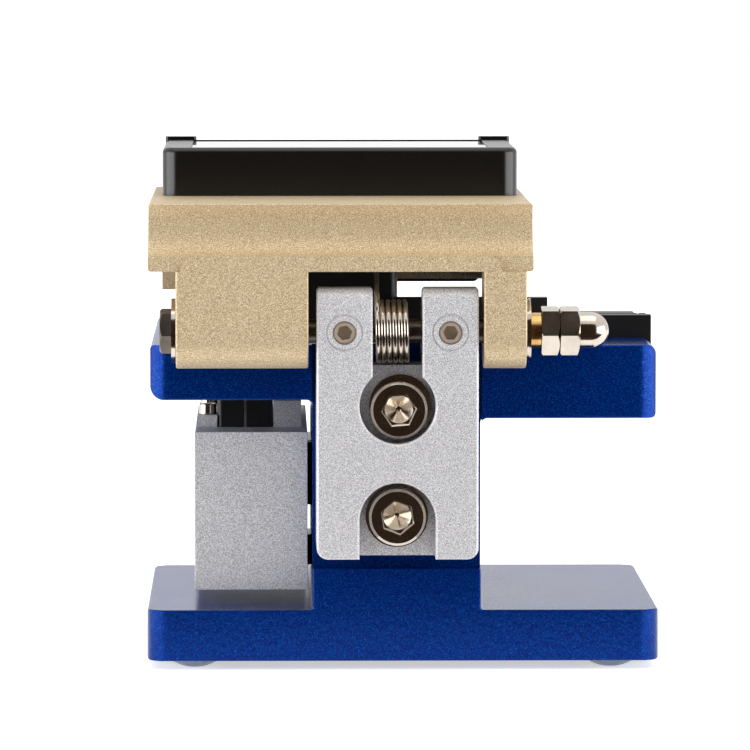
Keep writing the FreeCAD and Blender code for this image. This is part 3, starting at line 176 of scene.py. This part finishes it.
def speckled(name, look, **sockets):
    # a finish whose colour, sheen and grain come from the shared flecks
    material, tree, shader = newMaterial(name, **sockets)
    grain = tree.nodes.new("ShaderNodeGroup")
    grain.node_tree = flecks
    grain.inputs["Fleck Scale"].default_value = look["fleckScale"]
    grain.inputs["Sand Scale"].default_value = look["sandScale"]
    grain.inputs["Fleck Reach"].default_value = look["fleckReach"]
    grain.inputs["Peel"].default_value = look.get("peel", 0.0)
    sandStops = zip(grainLook["sandStops"], (look["dark"], look["light"]))
    sandColour = ramp(tree, grain.outputs["Sand"], sandStops)
    mixed = addNode(tree, "Mix", data_type="RGBA", blend_type="MIX")
    mixed.inputs["B"].default_value = tuple(look["fleck"]) + (1.0,)
    join(tree, grain.outputs["Fleck"], mixed.inputs["Factor"])
    join(tree, sandColour.outputs["Color"], mixed.inputs["A"])
    join(tree, mixed.outputs["Result"], shader.inputs["Base Color"])
    rough = addNode(tree, "MapRange")
    rough.inputs["To Min"].default_value = look["roughness"] - look["roughSpread"]
    rough.inputs["To Max"].default_value = look["roughness"] + look["roughSpread"]
    join(tree, grain.outputs["Drift"], rough.inputs["Value"])
    join(tree, rough.outputs["Result"], shader.inputs["Roughness"])
    bump = addNode(tree, "Bump", Strength=look["bump"], Distance=grainLook["bumpDepth"])
    join(tree, grain.outputs["Height"], bump.inputs["Height"])
    join(tree, bump.outputs["Normal"], shader.inputs["Normal"])
    return material


# faint clouds in plated or ground metal, and in the clear rubber
cloudLook = {"metalDetail": 4.0, "metalRoughness": 0.6, "rubberDetail": 2.0, "stops": (0.3, 0.7)}


def turnedMetal(name, look, **sockets):
    material, tree, shader = newMaterial(name, **sockets)
    where = addNode(tree, "TexCoord")
    cloud = addNode(tree, "TexNoise", Scale=look["cloudScale"], Detail=cloudLook["metalDetail"],
                    Roughness=cloudLook["metalRoughness"])
    join(tree, where.outputs["Object"], cloud.inputs["Vector"])
    tint = ramp(tree, cloud.outputs["Fac"], zip(cloudLook["stops"], (look["dark"], look["light"])))
    join(tree, tint.outputs["Color"], shader.inputs["Base Color"])
    rough = addNode(tree, "MapRange")
    rough.inputs["To Min"].default_value = look["roughness"][0]
    rough.inputs["To Max"].default_value = look["roughness"][1]
    join(tree, cloud.outputs["Fac"], rough.inputs["Value"])
    join(tree, rough.outputs["Result"], shader.inputs["Roughness"])
    return material


bluePaintLook = {
    "dark": (0.0, 0.009, 0.125), "light": (0.0, 0.036, 0.235), "fleck": (0.0, 0.12, 0.50),
    "fleckScale": 12000.0, "sandScale": 9000.0, "fleckReach": 0.10,
    "roughness": 0.21, "roughSpread": 0.02, "bump": 0.35, "peel": 2.5,
}
goldPaintLook = {
    "dark": (0.36, 0.26, 0.145), "light": (0.78, 0.62, 0.39), "fleck": (0.92, 0.80, 0.58),
    "fleckScale": 12000.0, "sandScale": 9000.0, "fleckReach": 0.12,
    "roughness": 0.48, "roughSpread": 0.03, "bump": 0.45,
}
silverLook = {
    "dark": (0.31, 0.305, 0.32), "light": (0.81, 0.80, 0.82), "fleck": (0.92, 0.91, 0.93),
    "fleckScale": 12000.0, "sandScale": 9000.0, "fleckReach": 0.12,
    "roughness": 0.50, "roughSpread": 0.03, "bump": 0.45,
}
blackLook = {
    "dark": (0.0035, 0.0035, 0.0035), "light": (0.0055, 0.0055, 0.0055),
    "fleck": (0.006, 0.006, 0.006),
    "fleckScale": 9000.0, "sandScale": 6000.0, "fleckReach": 0.0,
    "roughness": 0.42, "roughSpread": 0.03, "bump": 0.10,
}
plasticLook = dict(blackLook, roughness=0.25, roughSpread=0.02)
panelLook = dict(blackLook, roughness=0.08, roughSpread=0.01, bump=0.0)
padLook = dict(blackLook, roughness=0.7, bump=0.3)
nickelLook = {
    "dark": (0.50, 0.44, 0.375), "light": (0.68, 0.61, 0.53),
    "roughness": (0.10, 0.20), "cloudScale": 300.0,
}
# painted shade: the hinge shaft's colour is darkened for the shade and dark reflections it sits in between the
# bracket ear and the lid leg
shaftShadeLook = dict(nickelLook, dark=(0.10, 0.085, 0.07), light=(0.18, 0.155, 0.13),
                 roughness=(0.25, 0.40))
setScrewLook = dict(nickelLook, dark=(0.46, 0.36, 0.28), light=(0.66, 0.55, 0.45),
                    roughness=(0.40, 0.52))
steelLook = {
    "dark": (0.42, 0.42, 0.43), "light": (0.56, 0.56, 0.57),
    "roughness": (0.24, 0.36), "cloudScale": 500.0,
}
bladeLook = {
    "dark": (0.60, 0.61, 0.63), "light": (0.72, 0.73, 0.75),
    "roughness": (0.08, 0.16), "cloudScale": 700.0,
}
brassLook = {
    "dark": (0.55, 0.30, 0.09), "light": (0.80, 0.50, 0.20),
    "roughness": (0.16, 0.28), "cloudScale": 500.0,
}
rubberLook = {"dark": (0.40, 0.58, 0.86), "light": (0.55, 0.70, 0.92), "cloudScale": 400.0}


def clearRubber(name, look, **sockets):
    material, tree, shader = newMaterial(name, **sockets)
    where = addNode(tree, "TexCoord")
    haze = addNode(tree, "TexNoise", Scale=look["cloudScale"], Detail=cloudLook["rubberDetail"])
    join(tree, where.outputs["Object"], haze.inputs["Vector"])
    tint = ramp(tree, haze.outputs["Fac"], zip(cloudLook["stops"], (look["dark"], look["light"])))
    join(tree, tint.outputs["Color"], shader.inputs["Base Color"])
    return material


finishes = {
    "blue_paint": speckled("bluePaint", bluePaintLook, Metallic=0.50, Specular_IOR_Level=0.15),
    "gold_paint": speckled("goldPaint", goldPaintLook, Metallic=0.35),
    "blasted_silver": speckled("blastedSilver", silverLook, Metallic=0.35),
    "black_anodised": speckled("blackAnodised", blackLook),
    "black_plastic": speckled("blackPlastic", plasticLook),
    "gloss_panel": speckled("glossPanel", panelLook, Coat_Weight=1.0, Coat_Roughness=0.03),
    "nickel": turnedMetal("nickelPlate", nickelLook, Metallic=1.0),
    "guide_steel": turnedMetal("groundSteel", steelLook, Metallic=1.0),
    "blade_steel": turnedMetal("bladeSteel", bladeLook, Metallic=1.0),
    "brass": turnedMetal("turnedBrass", brassLook, Metallic=1.0),
    "pad_rubber": speckled("padRubber", padLook),
    "clear_rubber": clearRubber("clearRubber", rubberLook, Roughness=0.25, IOR=1.45,
                                Transmission_Weight=0.35),
}


# two pieces that look unlike the rest of the plated parts; the hinge shaft's dark colour is painted shade, for the
# shade and dark reflections between the bracket ear and the lid leg
ownFinish = {
    "hinge_shaft": turnedMetal("shaftPaintedShade", shaftShadeLook, Metallic=1.0),
    "ear_set_screws": turnedMetal("dullSetScrews", setScrewLook, Metallic=0.55),
}


def dressNodes():
    for name, node in nodes.items():
        material = ownFinish.get(name, finishes[slotOf[name]])
        if not node.material_slots:
            node.data.materials.append(material)
        for slot in node.material_slots:
            slot.material = material


dressNodes()
print("CAD nodes dressed:", len(nodes))


# steps shared by the wound springs
weldDistance = 1e-7


def keepSpring(wire, name, replaced):
    bmesh.ops.remove_doubles(wire, verts=wire.verts, dist=weldDistance)
    bmesh.ops.recalc_face_normals(wire, faces=wire.faces)
    for face in wire.faces:
        face.smooth = len(face.verts) == 4   # round along the wire, flat at its cut ends
    spring = addShape(name, wire)
    spring.data.materials.append(finishes["nickel"])
    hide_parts(replaced)
    return spring


def sweepEnd(shape, faces, centre, shift, angle, steps, axis=(1.0, 0.0, 0.0)):
    swept = bmesh.ops.spin(shape, geom=faces, cent=centre, axis=axis, dvec=shift / steps,
                           angle=angle, steps=steps)
    return [item for item in swept["geom_last"] if isinstance(item, bmesh.types.BMFace)]


def drawOut(shape, faces, by):
    drawn = bmesh.ops.extrude_face_region(shape, geom=faces)["geom"]
    moved = [item for item in drawn if isinstance(item, bmesh.types.BMVert)]
    bmesh.ops.translate(shape, verts=moved, vec=by)
    return [item for item in drawn if isinstance(item, bmesh.types.BMFace)]


# torsion spring, a round wire wound about the hinge shaft
springWire = {
    "radius": 0.00033, "coilRadius": 0.0036, "turns": 5.375, "startAngle": 270.0,
    "bend": 0.0008, "wireSides": 12, "stepsPerTurn": 48, "bendSteps": 8,
}
hinge = next(Vector(joint["pos_m"]) for joint in frame["joints"] if joint["name"] == "lid_hinge")


def windSpring(look):
    # from the bracket leg, round the shaft, to the leg that leans on the lid
    low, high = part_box("torsion_spring")
    radius, coil, bend = look["radius"], look["coilRadius"], look["bend"]
    fromX, toX = low.x + radius, high.x - radius
    foot = Vector((fromX, low.y + radius, low.z))
    level = hinge.z - coil
    steps = math.ceil(look["turns"] * look["stepsPerTurn"])
    finish = math.radians(look["startAngle"] + 360.0 * look["turns"])
    lean = Vector((0.0, -math.sin(finish), math.cos(finish)))
    wire = bmesh.new()
    bmesh.ops.create_circle(wire, cap_ends=True, segments=look["wireSides"], radius=radius)
    bmesh.ops.translate(wire, verts=wire.verts, vec=foot)
    ends = drawOut(wire, wire.faces[:], Vector((0.0, 0.0, level - bend - foot.z)))
    ends = sweepEnd(wire, ends, (fromX, foot.y + bend, level - bend), Vector(), -math.pi / 2,
                    look["bendSteps"])
    ends = drawOut(wire, ends, Vector((0.0, hinge.y - foot.y - bend, 0.0)))
    ends = sweepEnd(wire, ends, (0.0, hinge.y, hinge.z), Vector((toX - fromX, 0.0, 0.0)),
                    2 * math.pi * look["turns"], steps)
    top = max(vert.co.z for face in ends for vert in face.verts)
    drawOut(wire, ends, lean * ((high.z - top) / lean.z))
    spring = keepSpring(wire, "springWire", "torsion_spring")
    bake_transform(spring)


windSpring(springWire)
print("torsion spring wound")


# compression springs, seated on a moving piece and in the lid
coilWire = {"radius": 0.0002, "wireSides": 8, "stepsPerTurn": 32}
coils = {
    "clamp_springs": dict(coilWire, name="clampCoils", body="clamp", seat="low", turns=4, count=2),
    "anvil_spring": dict(coilWire, name="anvilCoil", body="anvil", seat="high", turns=3, count=1),
}


def windCoils(replaced, look):
    low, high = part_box(replaced)
    node = nodes[replaced]
    points = [node.matrix_world @ vert.co for vert in node.data.vertices]
    width = (high.x - low.x) / look["count"]
    radius = look["radius"]
    fromZ, toZ = low.z + radius, high.z - radius
    wire = bmesh.new()
    for number in range(look["count"]):
        start = low.x + width * number
        own = [point for point in points if start <= point.x <= start + width]
        left, right = min(point.x for point in own), max(point.x for point in own)
        front, back = min(point.y for point in own), max(point.y for point in own)
        centre = Vector(((left + right) / 2, (front + back) / 2, fromZ))
        coil = (right - left) / 2 - radius
        begun = bmesh.ops.create_circle(wire, cap_ends=True, segments=look["wireSides"],
                                        radius=radius)["verts"]
        stand = Matrix.Rotation(math.pi / 2, 4, "X")
        lay = Matrix.Translation(centre + Vector((coil, 0.0, 0.0))) @ stand
        bmesh.ops.transform(wire, matrix=lay, verts=begun)
        disc = [face for face in wire.faces if all(vert in begun for vert in face.verts)]
        steps = look["turns"] * look["stepsPerTurn"]
        sweepEnd(wire, disc, centre, Vector((0.0, 0.0, toZ - fromZ)),
                 2 * math.pi * look["turns"], steps, axis=(0.0, 0.0, 1.0))
    spring = keepSpring(wire, look["name"], replaced)
    ends = [Vector((0.0, 0.0, fromZ)), Vector((0.0, 0.0, toZ))]
    if look["seat"] == "high":
        ends.reverse()
    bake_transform(spring)


for coilNode, coilLook in coils.items():
    windCoils(coilNode, coilLook)
print("compression springs wound")


# floor, dark card, world and soft lamps
white = (1.0, 1.0, 1.0, 1.0)
floorLook = {"size": 3.0, "colour": (0.86, 0.86, 0.86, 1.0), "glow": 0.55}


def seenRays(tree):
    # 1 where the camera, a mirror or clear rubber looks, 0 for the light that falls on the cleaver
    path = addNode(tree, "LightPath")
    first = addNode(tree, "Math", operation="MAXIMUM")
    join(tree, path.outputs["Is Camera Ray"], first.inputs[0])
    join(tree, path.outputs["Is Glossy Ray"], first.inputs[1])
    both = addNode(tree, "Math", operation="MAXIMUM")
    join(tree, first.outputs[0], both.inputs[0])
    join(tree, path.outputs["Is Transmission Ray"], both.inputs[1])
    return both.outputs[0]


def makeFloor(look):
    shape = bmesh.new()
    bmesh.ops.create_grid(shape, x_segments=1, y_segments=1, size=look["size"])
    floor = addShape("floor", shape)
    material, tree, shader = newMaterial("paleFloor", Roughness=0.7, Specular_IOR_Level=0.2)
    shader.inputs["Base Color"].default_value = look["colour"]
    shader.inputs["Emission Color"].default_value = white
    glow = addNode(tree, "Math", operation="MULTIPLY")
    glow.inputs[1].default_value = look["glow"]
    join(tree, seenRays(tree), glow.inputs[0])
    join(tree, glow.outputs[0], shader.inputs["Emission Strength"])
    floor.data.materials.append(material)


# a card on the hinge side, bent upright, for metal to mirror; it casts no shade
cardLook = {
    "near": 0.055, "far": 0.20, "top": 0.22, "half": 0.16, "lift": 0.001,
    "colour": (0.028, 0.018, 0.012, 1.0),
}


def makeCard(look):
    near, far, top, half, lift = (look[key] for key in ("near", "far", "top", "half", "lift"))
    shape = bmesh.new()
    rows = [[shape.verts.new((side, y, z)) for side in (-half, half)]
            for y, z in ((near, lift), (far, lift), (far, top))]
    for row, beyond in zip(rows, rows[1:]):
        shape.faces.new((row[0], row[1], beyond[1], beyond[0]))
    card = addShape("darkCard", shape)
    material, tree, shader = newMaterial("darkCloth", Roughness=1.0, Specular_IOR_Level=0.0)
    shader.inputs["Base Color"].default_value = look["colour"]
    card.data.materials.append(material)
    card.visible_camera = False
    card.visible_diffuse = False
    card.visible_shadow = False
    card.visible_transmission = False


def makeWorld(strength):
    world = bpy.data.worlds.new("softRoom")
    bpy.context.scene.world = world
    world.use_nodes = True
    back = world.node_tree.nodes["Background"]
    back.inputs["Color"].default_value = white
    back.inputs["Strength"].default_value = strength


roomGlow = 1.0
sideLamp = {"aim": (0.0, 0.02, 0.04), "size": (0.34, 0.15), "power": 0.55}
lamps = {
    "overhead": {"place": (0.0, 0.05, 0.7), "aim": (0.0, 0.0, 0.03), "size": (0.7, 0.5), "power": 1.0},
    "leftSide": dict(sideLamp, place=(0.30, 0.12, 0.075)),
    "rightSide": dict(sideLamp, place=(-0.30, 0.12, 0.075)),
}


def makeLamp(name, lamp):
    data = bpy.data.lights.new(name, "AREA")
    data.shape = "RECTANGLE"
    data.size, data.size_y = lamp["size"]
    data.energy = lamp["power"]
    light = addObject(name, data)
    light.visible_camera = False
    light.matrix_world = aimed(lamp["place"], lamp["aim"])


makeFloor(floorLook)
makeCard(cardLook)
makeWorld(roomGlow)
for lampName, lampLook in lamps.items():
    makeLamp(lampName, lampLook)
bpy.context.scene.view_settings.view_transform = "Standard"
print("stage and lamps placed")
